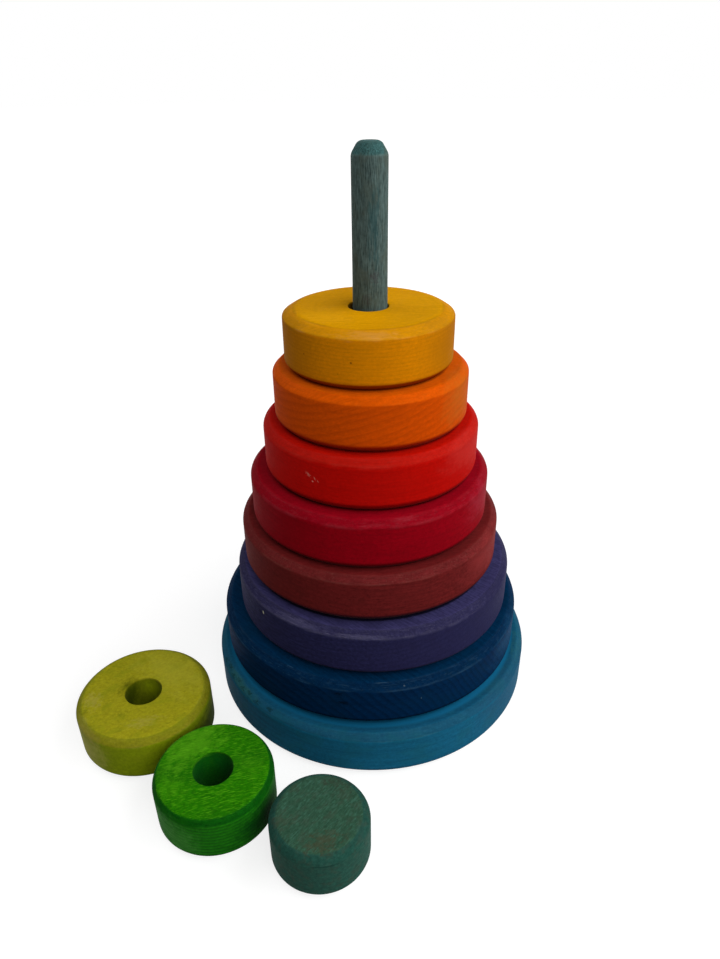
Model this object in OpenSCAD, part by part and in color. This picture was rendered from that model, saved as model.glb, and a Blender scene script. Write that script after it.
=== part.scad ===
// Wooden stacking tower in rainbow colours: a base disc, a dowel, nine bored rings and a cap.
// Seven rings stand on the dowel, and two rings and the cap lie on the floor beside the base.
// Millimetres. +Z is up, and the origin is the centre of the base disc's underside.

/* [All discs] */
// Thickness of every disc
disc_t = 20; // [16:0.5:30]
// Width of the bevel along each flat face
bevel_w = 2.4; // [2:0.1:5]
// Width of the bevel along the yellow ring's upper face, which is turned wider
yellow_bevel_w = 3.8; // [2:0.1:6]
// Width of the bevel along the green ring's upper face, which is turned narrower
green_bevel_w = 1.4; // [1.2:0.1:5]
// Height of the bevel down the rim
bevel_h = 2.4; // [1.8:0.1:5]
// Radius that eases both arrises of a bevel
arris_r = 1; // [0.4:0.1:1.8]

/* [Disc diameters] */
// Light blue base disc
base_d = 131; // [115:1:160]
// Dark blue ring
dark_blue_d = 122; // [100:1:140]
// Purple ring
purple_d = 110; // [90:1:130]
// Maroon ring
maroon_d = 101; // [80:1:120]
// Crimson ring
crimson_d = 91; // [70:1:110]
// Red ring
red_d = 80; // [60:1:100]
// Orange ring
orange_d = 70.5; // [50:0.5:90]
// Yellow ring
yellow_d = 60; // [44:0.5:80]
// Lime ring
lime_d = 51.3; // [40:0.1:70]
// Green ring
green_d = 42.2; // [34:0.1:60]
// Teal cap
cap_d = 33.8; // [28:0.1:50]

/* [Dowel] */
// Diameter of the dowel
dowel_d = 12; // [8:0.5:14]
// Height of the tapered tip
tip_h = 3.8; // [2:0.1:6]
// Diameter of the flat end of the tip
tip_d = 7.4; // [4:0.1:7.8]
// Radius that eases the shoulder and the end of the tip
tip_r = 0.9; // [0.2:0.1:1.2]
// Bevel round the dowel's foot
foot_bevel = 1; // [0.4:0.1:2]

/* [Holes] */
// Play of a ring's bore over the dowel's diameter
bore_play = 2; // [1:0.1:4]
// Play of the base's socket over the dowel's diameter
socket_play = 0.12; // [0.04:0.02:0.18]
// Wood left under the dowel in the base
socket_floor = 5; // [3:0.5:8]
// Wood left above the blind hole in the cap
cap_roof = 7.5; // [5:0.5:10]
// Free space between the dowel's end and the roof of the cap's hole
cap_room = 0.8; // [0.5:0.1:4]
// Radius that eases the mouth of every hole
mouth_r = 0.4; // [0.2:0.1:1]

/* [Loose pieces on the floor] */
// Bearing of the lime ring from the dowel, anticlockwise from +X
lime_bearing = 204.8; // [180:0.1:225]
// Floor between the lime ring and the base
lime_gap = 7.9; // [3:0.5:30]
// Floor between the green ring and the base
green_gap = 9.5; // [3:0.5:30]
// Floor between the cap and the base
cap_gap = 14.8; // [3:0.2:30]
// Floor between the lime ring and the green ring
lime_green_gap = 2.7; // [0.5:0.1:20]
// Floor between the green ring and the cap
green_cap_gap = 3.7; // [0.5:0.1:20]

/* [Hidden] */
$fn = 128;
// Straight steps that draw a softened corner
arc_steps = 4;

bore_r = (dowel_d + bore_play) / 2;
socket_r = (dowel_d + socket_play) / 2;
// How far a ring can sit off the dowel's axis
play_r = bore_play / 2;
// Where each ring rests inside its play, from the dark blue ring up to the yellow one
rest_shares = [
    [-0.5, 0.6], [0.75, -0.25], [-0.5, 0.4], [-0.7, -0.1], [0, 0.2], [0.05, -0.1], [-0.6, -0.5]
];
ring_count = len(rest_shares);
loose_ring_count = 2;
socket_depth = disc_t - socket_floor;
cap_hole = disc_t - cap_roof;
// The dowel passes through all nine rings and reaches into the cap
dowel_l = socket_depth + (ring_count + loose_ring_count) * disc_t + cap_hole - cap_room;

base_r = base_d / 2;
lime_r = lime_d / 2;
green_r = green_d / 2;
cap_r = cap_d / 2;
lime_reach = base_r + lime_gap + lime_r;
green_reach = base_r + green_gap + green_r;
cap_reach = base_r + cap_gap + cap_r;
green_bearing = lime_bearing + angle_across(lime_reach, green_reach, lime_r + lime_green_gap + green_r);
cap_bearing = green_bearing + angle_across(green_reach, cap_reach, green_r + green_cap_gap + cap_r);

// Angle between two sides a and b of a triangle whose third side is c
function angle_across(a, b, c) = acos((a * a + b * b - c * c) / (2 * a * b));

function unit(v) = v / norm(v);
function turned(v, angle) = [v[0] * cos(angle) - v[1] * sin(angle), v[0] * sin(angle) + v[1] * cos(angle)];

// Points of an arc of radius r that softens corner v of a path running from a through v to b
function soft_corner(a, v, b, r) =
    let (
        back = unit(a - v),
        ahead = unit(b - v),
        half = acos(back * ahead) / 2,
        centre = v + unit(back + ahead) * r / sin(half),
        start = v + back * r / tan(half) - centre,
        turn = sign(back[1] * ahead[0] - back[0] * ahead[1]) * (180 - 2 * half)
    )
    [for (i = [0:arc_steps]) centre + turned(start, turn * i / arc_steps)];

// Closed path through corners, each given as [[radius, height], softening radius]
function soft_path(corners) =
    let (n = len(corners))
    [
        for (i = [0:n - 1])
            let (
                a = corners[(i + n - 1) % n][0],
                v = corners[i][0],
                b = corners[(i + 1) % n][0],
                r = corners[i][1]
            )
            each (r > 0 ? soft_corner(a, v, b, r) : [v])
    ];

// Outer corners of a turned disc of radius r, from the underside up to the top face
function rim(r, top_w = bevel_w) = [
    [[r - bevel_w, 0], arris_r],
    [[r, bevel_h], arris_r],
    [[r, disc_t - bevel_h], arris_r],
    [[r - top_w, disc_t], arris_r]
];

module turned_shape(corners) {
    rotate_extrude()
        polygon(soft_path(corners));
}

// A disc bored right through
module ring(d, top_w = bevel_w) {
    turned_shape(concat(
        [[[bore_r, 0], mouth_r]],
        rim(d / 2, top_w),
        [[[bore_r, disc_t], mouth_r]]
    ));
}

// A ring on the dowel, counted from 1 just above the base
module tower_ring(place, d, top_w = bevel_w) {
    shift = rest_shares[place - 1] * play_r;
    translate([shift[0], shift[1], place * disc_t])
        ring(d, top_w);
}

// Puts its children on the floor at a reach and bearing from the dowel's axis
module on_floor(reach, bearing) {
    translate([reach * cos(bearing), reach * sin(bearing), 0])
        children();
}

// Light blue disc with the blind socket that holds the dowel
module base_disc() {
    color("#175f86")
        turned_shape(concat(
            [[[0, 0], 0]],
            rim(base_r),
            [[[socket_r, disc_t], mouth_r], [[socket_r, socket_floor], 0], [[0, socket_floor], 0]]
        ));
}

// Dowel with a bevelled foot and a tapered tip
module dowel() {
    r = dowel_d / 2;
    color("#4a5c56")
        translate([0, 0, socket_floor])
            turned_shape([
                [[0, 0], 0],
                [[r - foot_bevel, 0], 0],
                [[r, foot_bevel], 0],
                [[r, dowel_l - tip_h], tip_r],
                [[tip_d / 2, dowel_l], tip_r],
                [[0, dowel_l], 0]
            ]);
}

module dark_blue_ring() {
    color("#0a2c50")
        tower_ring(1, dark_blue_d);
}

module purple_ring() {
    color("#2e2a4c")
        tower_ring(2, purple_d);
}

module maroon_ring() {
    color("#5a1c1f")
        tower_ring(3, maroon_d);
}

module crimson_ring() {
    color("#860a1c")
        tower_ring(4, crimson_d);
}

module red_ring() {
    color("#a8140c")
        tower_ring(5, red_d);
}

module orange_ring() {
    color("#cc5206")
        tower_ring(6, orange_d);
}

module yellow_ring() {
    color("#c98c08")
        tower_ring(7, yellow_d, yellow_bevel_w);
}

module lime_ring() {
    color("#8f8f20")
        on_floor(lime_reach, lime_bearing)
            ring(lime_d);
}

module green_ring() {
    color("#45990f")
        on_floor(green_reach, green_bearing)
            ring(green_d, green_bevel_w);
}

// Disc with a blind hole in its underside that closes the top of the tower
module cap() {
    color("#35584d")
        on_floor(cap_reach, cap_bearing)
            turned_shape(concat(
                [[[bore_r, 0], mouth_r]],
                rim(cap_r),
                [[[0, disc_t], 0], [[0, cap_hole], 0], [[bore_r, cap_hole], 0]]
            ));
}

base_disc();
dowel();
dark_blue_ring();
purple_ring();
maroon_ring();
crimson_ring();
red_ring();
orange_ring();
yellow_ring();
lime_ring();
green_ring();
cap();
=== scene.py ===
"""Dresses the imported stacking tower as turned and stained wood, in a plain pale studio.

Every disc and the dowel is turned again on a finer profile than the CAD solid has, inside that solid, with
eased arrises, worn edges and nicks. Lengths are metres in Blender and millimetres in this file's fields.
"""

import logging
import math
from dataclasses import dataclass, field
from enum import Enum
from typing import Callable, Sequence

import bmesh
import bpy
from mathutils import Matrix, Vector, noise


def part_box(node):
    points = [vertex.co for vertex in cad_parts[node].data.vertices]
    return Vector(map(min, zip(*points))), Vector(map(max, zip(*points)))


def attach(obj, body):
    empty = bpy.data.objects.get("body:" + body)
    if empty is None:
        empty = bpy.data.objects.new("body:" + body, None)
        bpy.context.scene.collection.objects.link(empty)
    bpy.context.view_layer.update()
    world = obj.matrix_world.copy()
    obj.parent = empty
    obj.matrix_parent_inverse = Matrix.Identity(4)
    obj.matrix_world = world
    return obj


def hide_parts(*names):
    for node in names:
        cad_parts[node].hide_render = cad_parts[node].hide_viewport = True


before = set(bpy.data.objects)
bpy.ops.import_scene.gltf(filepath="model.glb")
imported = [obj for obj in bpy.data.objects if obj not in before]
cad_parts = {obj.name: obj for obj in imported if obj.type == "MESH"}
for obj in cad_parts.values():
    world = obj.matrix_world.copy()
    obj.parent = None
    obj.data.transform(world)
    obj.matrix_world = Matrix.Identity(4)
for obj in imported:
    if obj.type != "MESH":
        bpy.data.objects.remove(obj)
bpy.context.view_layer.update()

# A millimetre in metres, the name of the distance along the profile, how near to a line the points on it
# are, and how many wedges make up a full turn
MM = 0.001
RIM_ATTRIBUTE = "rim"
ON_LINE = 0.01 * MM
WEDGES = 16

# Noise values between which a pattern fades in
PORE_FADE = (0.6, 0.74)
BLOTCH_FADE = (0.46, 0.68)
BAND_FADE = (0.45, 0.68)
LINE_FADE = (0.54, 0.7)
GRIT_FADE = (0.55, 0.72)
CREASE_FADE = (0.35, 0.6)
PALE_FADE = (0.5, 0.7)
FIBRE_FADE = (0.3, 0.7)

# Millimetres over which the zones of a rim, a hole and a seat fade in
ZONE_FADE = 0.4
# The painted shade of the foot fades in across this span
FOOT_FADE = (-0.9, 0.4)
HOLE_FADE = (0.1, 1.2)
CREASE_SHIFT = 0.35
CREASE_REACH = (0.1, 0.75)
# Painted shade at a seat's edge, and the breadth over which painted light round a seat fades in
SEAT_EDGE = (-4.0, -1.0)
SEAT_LIGHT_BREADTH = 2.0

# Course of the growth layers and the blotches
LATE_WOOD = (0.25, 0.85)
WANDER_SCALE = (0.012, 0.04, 0.04)
BLOTCH_STRETCH = (0.6, 1.0, 1.0)

# Spread of wear, joints and spots
INNER_WEAR = 0.35
UNWORN_PATCHES = 0.75
PATCH_FADE = 0.22
# Painted shade at a joint fades in across this share of the lower bevel
JOINT_FADE = (0.4, 1.0)
SPOT_DETAIL = 2.3
SPOT_PULL = 5.0
SOFT_EDGE = (0.15, 1.0)

# Strength of the patterns in the colour, the roughness and the relief
ENDS_FADE = (0.4, 1.0)
FLAT_LAYER_LOSS = 0.6
END_FIBRE = 0.25
FIBRE_GAIN = 4.0
ROUGHNESS_SWAY = 0.06
PORE_SINK = 0.5
BAND_RISE = 0.25
BUMP_STRENGTH = 0.5

# Shape of the worn edges and the waved faces, in millimetres and in cells per millimetre
SEED_STEPS = (7.3, 3.1, 5.7)
WORN_PATCH_SCALE = 0.11
WORN_GRIT_SCALE = 0.45
WAVE_SCALE = 0.06
EDGE_WEAR_REACH = 1.6
GRIT_SHARE = 0.6

# Fewest steps in a wedge, the camera's sensor in millimetres and nearest distance in metres, and white
FEWEST_STEPS = 6
SENSOR = 36.0
NEAREST_SEEN = 0.01
WHITE = (1.0, 1.0, 1.0, 1.0)

Socket = bpy.types.NodeSocket
Sockets = bpy.types.bpy_prop_collection
Value = float | Sequence[float] | Socket
Point = tuple[float, float, float]

logging.basicConfig(level=logging.INFO, format="%(message)s")
LOG = logging.getLogger("stacking_tower")


def colour(code: str) -> tuple[float, float, float, float]:
    """Turns a web colour into the linear colour that shaders use.

    Args:
        code: The colour as a hash sign and six hexadecimal digits.

    Returns:
        Linear red, green, blue and an alpha of 1.
    """
    parts = [int(code[i:i + 2], 16) / 255 for i in (1, 3, 5)]
    linear = [p / 12.92 if p <= 0.04045 else ((p + 0.055) / 1.055) ** 2.4 for p in parts]
    return (linear[0], linear[1], linear[2], 1.0)


def around(bearing: float, reach: float, height: float) -> Vector:
    """Gives a place round an upright axis, from its bearing in degrees to the right of the front."""
    turn = math.radians(bearing)
    return Vector((reach * math.sin(turn), -reach * math.cos(turn), height))


def measured(node: str) -> tuple[Vector, float, float]:
    """Measures a CAD node at rest.

    Args:
        node: Its name.

    Returns:
        The middle of its underside, its radius and its height, in metres.
    """
    low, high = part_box(node)
    middle = Vector(((low.x + high.x) / 2, (low.y + high.y) / 2, low.z))
    return middle, (high.x - low.x) / 2, high.z - low.z


def placed(name: str, data: bpy.types.ID) -> bpy.types.Object:
    """Puts a mesh, a lamp or a camera into the scene.

    Args:
        name: The object's name.
        data: What the object shows.

    Returns:
        The new object.
    """
    made = bpy.data.objects.new(name, data)
    bpy.context.scene.collection.objects.link(made)
    return made


def finished(name: str, bm: bmesh.types.BMesh) -> bpy.types.Object:
    """Makes an object of a modelled shape, and frees the shape.

    Args:
        name: The name of the object and its mesh.
        bm: The shape.

    Returns:
        The new object.
    """
    mesh = bpy.data.meshes.new(name)
    bm.to_mesh(mesh)
    bm.free()
    return placed(name, mesh)


class Bore(Enum):
    """How a disc is drilled."""

    THROUGH = "right through"
    FROM_ABOVE = "a blind socket from above"
    FROM_BELOW = "a blind hole from below"


class Graph:
    """A node tree with short ways to add nodes and join them."""

    def __init__(self, tree: bpy.types.NodeTree) -> None:
        """Keeps the tree that the nodes go into."""
        self.tree = tree

    @classmethod
    def cleared(cls, owner: bpy.types.Material | bpy.types.World) -> "Graph":
        """Gives the emptied node tree of a material or a world.

        Args:
            owner: The material or the world.

        Returns:
            Its graph.
        """
        owner.use_nodes = True
        owner.node_tree.nodes.clear()
        return cls(owner.node_tree)

    def node(
        self, kind: str, values: dict[str | int, Value] | None = None, **settings: object,
    ) -> bpy.types.Node:
        """Adds one node.

        Args:
            kind: The node's type name.
            values: Input sockets by name or place, each with a constant or a socket to join.
            **settings: The node's own properties.

        Returns:
            The new node.
        """
        made = self.tree.nodes.new(kind)
        for name, setting in settings.items():
            setattr(made, name, setting)
        for key, value in (values or {}).items():
            self.feed(made.inputs[key], value)
        return made

    def feed(self, socket: Socket, value: Value) -> None:
        """Joins a socket to another one, or sets its constant.

        Args:
            socket: The input.
            value: The output to join, or the constant.
        """
        if isinstance(value, bpy.types.NodeSocket):
            self.tree.links.new(value, socket)
        else:
            socket.default_value = value

    def math(self, operation: str, *values: Value) -> Socket:
        """Works out one sum of its operands, and gives the result's socket."""
        return self.node("ShaderNodeMath", dict(enumerate(values)), operation=operation).outputs[0]

    def times(self, value: Value, share: Value) -> Socket:
        """Multiplies two values, and gives the result's socket."""
        return self.math("MULTIPLY", value, share)

    def rest(self, value: Value) -> Socket:
        """Gives what a share leaves of 1."""
        return self.math("SUBTRACT", 1.0, value)

    def vector(self, operation: str, *values: Value) -> Socket:
        """Works out one vector sum, and gives the result's socket, which is a number for a length."""
        made = self.node("ShaderNodeVectorMath", dict(enumerate(values)), operation=operation)
        return made.outputs["Value" if operation == "LENGTH" else "Vector"]

    def gained(self, tone: Value, gain: Value) -> Socket:
        """Makes a colour lighter or darker without changing its hue, and gives its socket."""
        return self.node("ShaderNodeVectorMath", {0: tone, "Scale": gain}, operation="SCALE").outputs[0]

    def ramp(self, value: Value, low: Value, high: Value, start: float = 0.0, end: float = 1.0) -> Socket:
        """Eases from start to end as the value goes from low to high, and gives the result's socket."""
        values = {"Value": value, "From Min": low, "From Max": high, "To Min": start, "To Max": end}
        return self.node("ShaderNodeMapRange", values, interpolation_type="SMOOTHSTEP").outputs[0]

    def mix(self, share: Value, below: Value, above: Value) -> Socket:
        """Lays one colour over another by a share from 0 to 1, and gives the mixed colour's socket."""
        return self.node("ShaderNodeMix", {0: share, 6: below, 7: above}, data_type="RGBA").outputs[2]

    def noise(self, at: Value, scale: Value = 1.0, detail: float = 2.0, rough: float = 0.5) -> Socket:
        """Reads a noise texture, whose finer layers are as strong as rough, and gives its value's socket."""
        values = {"Vector": at, "Scale": scale, "Detail": detail, "Roughness": rough}
        return self.node("ShaderNodeTexNoise", values).outputs[0]


class Effect(Enum):
    """The shader groups that the finishes share."""

    GRAIN = "wood_grain"
    TURNING = "turning_lines"
    WEAR = "edge_wear"
    SPOT = "ragged_spot"
    SEAT = "seat_above"


@dataclass(frozen=True)
class RimSpans:
    """Lengths along a piece's profile, in millimetres.

    Attributes:
        upper: Breadth of the upper bevel.
        side: Height of the side.
        lower: Breadth of the lower bevel.
        flat: Breadth of the upper face, from its bevel to the hole or the axis.
    """

    upper: float
    side: float
    lower: float
    flat: float


@dataclass(frozen=True)
class EffectKit:
    """Builds each shared shader group once.

    Lengths are in millimetres.

    Attributes:
        pore_length: Length of one pore dash.
        pore_width: Width of one pore dash.
        band_length: Length of a broad turning band.
        band_width: Width of a broad turning band.
        line_length: Length of a fine turning line.
        line_width: Width of a fine turning line.
        mottle: Size of the fine unevenness of the stain.
        speck: Size of a speck.
        patch: Size of a worn patch.
    """

    pore_length: float = 2.8
    pore_width: float = 0.45
    band_length: float = 24.0
    band_width: float = 1.5
    line_length: float = 4.0
    line_width: float = 0.34
    mottle: float = 1.1
    speck: float = 0.6
    patch: float = 11.0

    def group(self, effect: Effect) -> bpy.types.NodeTree:
        """Gives a shared group, built the first time it is asked for.

        Args:
            effect: Which group.

        Returns:
            The group's node tree.
        """
        found = bpy.data.node_groups.get(effect.value)
        if found is not None:
            return found
        makers: dict[Effect, Callable[[], bpy.types.NodeTree]] = {
            Effect.GRAIN: self.make_grain,
            Effect.TURNING: self.make_turning,
            Effect.WEAR: self.make_wear,
            Effect.SPOT: self.make_spot,
            Effect.SEAT: self.make_seat,
        }
        return makers[effect]()

    @staticmethod
    def start(effect: Effect, inputs: dict[str, float | None]) -> tuple[Graph, Sockets]:
        """Starts a group with its named inputs.

        Args:
            effect: Which group.
            inputs: Each input's name, with its default number, or None for a vector.

        Returns:
            The graph, and the group's input sockets by name.
        """
        graph = Graph(bpy.data.node_groups.new(effect.value, "ShaderNodeTree"))
        for name, default in inputs.items():
            kind = "NodeSocketVector" if default is None else "NodeSocketFloat"
            made = graph.tree.interface.new_socket(name=name, in_out="INPUT", socket_type=kind)
            if default is not None:
                made.default_value = default
        return graph, graph.node("NodeGroupInput").outputs

    @staticmethod
    def end(graph: Graph, outputs: dict[str, Socket]) -> bpy.types.NodeTree:
        """Ends a group with its named output numbers.

        Args:
            graph: The group's graph.
            outputs: Each output's name, with the number that it gives out.

        Returns:
            The group's node tree.
        """
        for name in outputs:
            graph.tree.interface.new_socket(name=name, in_out="OUTPUT", socket_type="NodeSocketFloat")
        graph.node("NodeGroupOutput", outputs)
        return graph.tree

    def make_grain(self) -> bpy.types.NodeTree:
        """Makes solid wood grain, whose fibres run along X and whose growth layers are stacked along Z.

        Returns:
            The group's node tree.
        """
        inputs = {
            "At": None, "Fibre Length": 7.0, "Fibre Width": 0.6, "Layer Spacing": 4.0, "Layer Bend": 2.0,
            "Blotch Size": 14.0,
        }
        graph, given = self.start(Effect.GRAIN, inputs)
        at = given["At"]
        width = given["Fibre Width"]
        cell = graph.node("ShaderNodeCombineXYZ", {0: given["Fibre Length"], 1: width, 2: width}).outputs[0]
        dash = (self.pore_length, self.pore_width, self.pore_width)
        pores = graph.noise(graph.vector("DIVIDE", at, dash), detail=1.0)
        slow = graph.noise(graph.vector("MULTIPLY", at, WANDER_SCALE))
        depth = graph.node("ShaderNodeSeparateXYZ", {0: at}).outputs[2]
        turn = graph.math("DIVIDE", depth, given["Layer Spacing"])
        turn = graph.math("ADD", turn, graph.times(slow, given["Layer Bend"]))
        layer = graph.math("FRACT", turn)
        early_wood = graph.ramp(layer, LATE_WOOD[1], 1.0, 1.0, 0.0)
        drawn_out = graph.vector("MULTIPLY", at, BLOTCH_STRETCH)
        per_blotch = graph.math("DIVIDE", 1.0, given["Blotch Size"])
        blotch = graph.noise(drawn_out, scale=per_blotch, detail=3.0, rough=0.6)
        outputs = {
            "Fibre": graph.noise(graph.vector("DIVIDE", at, cell), rough=0.55),
            "Layers": graph.times(graph.ramp(layer, *LATE_WOOD), early_wood),
            "Pores": graph.ramp(pores, *PORE_FADE),
            "Blotch": graph.ramp(blotch, *BLOTCH_FADE),
            "Mottle": graph.noise(at, scale=1 / self.mottle, detail=3.0, rough=0.65),
        }
        return self.end(graph, outputs)

    def make_turning(self) -> bpy.types.NodeTree:
        """Makes lines that run round a turned piece, as its tool and years of rubbing leave them.

        Returns:
            The group's node tree.
        """
        graph, given = self.start(Effect.TURNING, {"At": None, "Rim": 0.0})
        xyz = graph.node("ShaderNodeSeparateXYZ", {0: given["At"]}).outputs
        patterns = {
            "Bands": (self.band_length, self.band_width, BAND_FADE),
            "Lines": (self.line_length, self.line_width, LINE_FADE),
        }
        outputs = {}
        for name, (length, width, fade) in patterns.items():
            place = {
                0: graph.math("DIVIDE", xyz[0], length),
                1: graph.math("DIVIDE", xyz[1], length),
                2: graph.math("DIVIDE", given["Rim"], width),
            }
            drawn = graph.noise(graph.node("ShaderNodeCombineXYZ", place).outputs[0], rough=0.55)
            outputs[name] = graph.ramp(drawn, *fade)
        return self.end(graph, outputs)

    def make_wear(self) -> bpy.types.NodeTree:
        """Makes masks of the zones of the rim, and of the wear along the arrises of the upper bevel.

        Returns:
            The group's node tree.
        """
        inputs = {
            "At": None, "Rim": 0.0, "Upper": 3.4, "Side": 15.2, "Lower": 3.4, "Flat": 20.0, "Breadth": 0.8,
            "Amount": 0.5, "Rise": 0.0,
        }
        graph, given = self.start(Effect.WEAR, inputs)
        rim = given["Rim"]
        over = graph.math("ADD", rim, given["Upper"])
        under = graph.math("SUBTRACT", rim, given["Side"])
        grit = graph.noise(given["At"], scale=1 / self.speck, detail=3.0, rough=0.7)
        patches = graph.noise(given["At"], scale=1 / self.patch, detail=3.0, rough=0.6)
        reach = graph.times(given["Breadth"], graph.math("ADD", grit, 0.5))
        outer, inner = (
            graph.ramp(graph.math("DIVIDE", graph.math("ABSOLUTE", line), reach), 0.0, 1.0, most, 0.0)
            for line, most in ((rim, 1.0), (over, INNER_WEAR))
        )
        low = graph.times(graph.rest(given["Amount"]), UNWORN_PATCHES)
        spread = graph.ramp(patches, low, graph.math("ADD", low, PATCH_FADE))
        aside = graph.math("ABSOLUTE", graph.math("ADD", over, CREASE_SHIFT))
        crease = graph.ramp(aside, *CREASE_REACH, 1.0, 0.0)
        below_top = graph.ramp(over, -ZONE_FADE, ZONE_FADE)
        above_side = graph.ramp(rim, -ZONE_FADE, ZONE_FADE, 1.0, 0.0)
        down_hole = graph.math("SUBTRACT", graph.times(over, -1.0), given["Flat"])
        outputs = {
            "Worn": graph.times(graph.math("MAXIMUM", outer, inner), spread),
            "Crease": graph.times(crease, graph.ramp(patches, *CREASE_FADE)),
            "Bevel Face": graph.times(below_top, above_side),
            "Below Top": below_top,
            # Foot and Joint mask the painted shade low on the piece
            "Foot": graph.ramp(graph.math("ADD", under, given["Rise"]), *FOOT_FADE),
            "Joint": graph.ramp(graph.math("DIVIDE", under, given["Lower"]), *JOINT_FADE),
            "Inside": graph.ramp(down_hole, *HOLE_FADE),
            "Grit": graph.ramp(grit, *GRIT_FADE),
        }
        return self.end(graph, outputs)

    def make_spot(self) -> bpy.types.NodeTree:
        """Makes a ragged spot of radius 1 round the point 0.

        Returns:
            The group's node tree.
        """
        graph, given = self.start(Effect.SPOT, {"At": None, "Ragged": 0.5})
        rough = graph.noise(given["At"], scale=SPOT_DETAIL, detail=4.0, rough=0.75)
        pull = graph.times(graph.math("SUBTRACT", rough, 0.5), given["Ragged"])
        far = graph.vector("LENGTH", given["At"])
        reach = graph.math("ADD", far, graph.times(pull, SPOT_PULL))
        return self.end(graph, {"Mask": graph.ramp(reach, *SOFT_EDGE, 1.0, 0.0)})

    def make_seat(self) -> bpy.types.NodeTree:
        """Makes the seat of the piece above, round its axis at the point 0: all of it, and its edge.

        Returns:
            The group's node tree.
        """
        graph, given = self.start(Effect.SEAT, {"At": None, "Radius": 20.0, "Breadth": 1.3})
        far = graph.vector("LENGTH", graph.vector("MULTIPLY", given["At"], (1.0, 1.0, 0.0)))
        past = graph.math("SUBTRACT", far, given["Radius"])
        covered = graph.ramp(graph.math("DIVIDE", past, given["Breadth"]), *SOFT_EDGE, 1.0, 0.0)
        # The seat's edge is where painted shade falls round the piece above
        edge = graph.times(covered, graph.ramp(past, *SEAT_EDGE))
        return self.end(graph, {"Covered": covered, "Edge": edge})


@dataclass(frozen=True)
class Place:
    """A place on a turned piece.

    Attributes:
        bearing: Where it is round the piece, in degrees to the right of the front.
        reach: How far from the piece's axis it is, in millimetres.
        height: How high above the piece's underside it is, in millimetres.
    """

    bearing: float
    reach: float
    height: float

    def offset(self) -> Vector:
        """Gives the place in metres from the middle of the piece's underside."""
        return around(self.bearing, self.reach, self.height) * MM


@dataclass(frozen=True)
class Mark(Place):
    """A scratch, smudge, stain, or patch of painted light or shade at one place on a piece.

    Attributes:
        size: Its half width round the piece, half depth and half height, in millimetres.
        colour: Its colour.
        share: How much of it shows.
        ragged: How torn its outline is.
        lean: How far it leans from upright, in degrees.
        streaks: How far it is broken up into lines round the piece.
    """

    size: Point
    colour: str
    share: float = 1.0
    ragged: float = 0.5
    lean: float = 0.0
    streaks: float = 0.0


@dataclass(frozen=True)
class Seat:
    """Where the piece above stands on a disc.

    Attributes:
        centre: The middle of the foot of the piece above, in metres.
        radius: The radius of that foot, in millimetres.
    """

    centre: Vector
    radius: float


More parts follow.
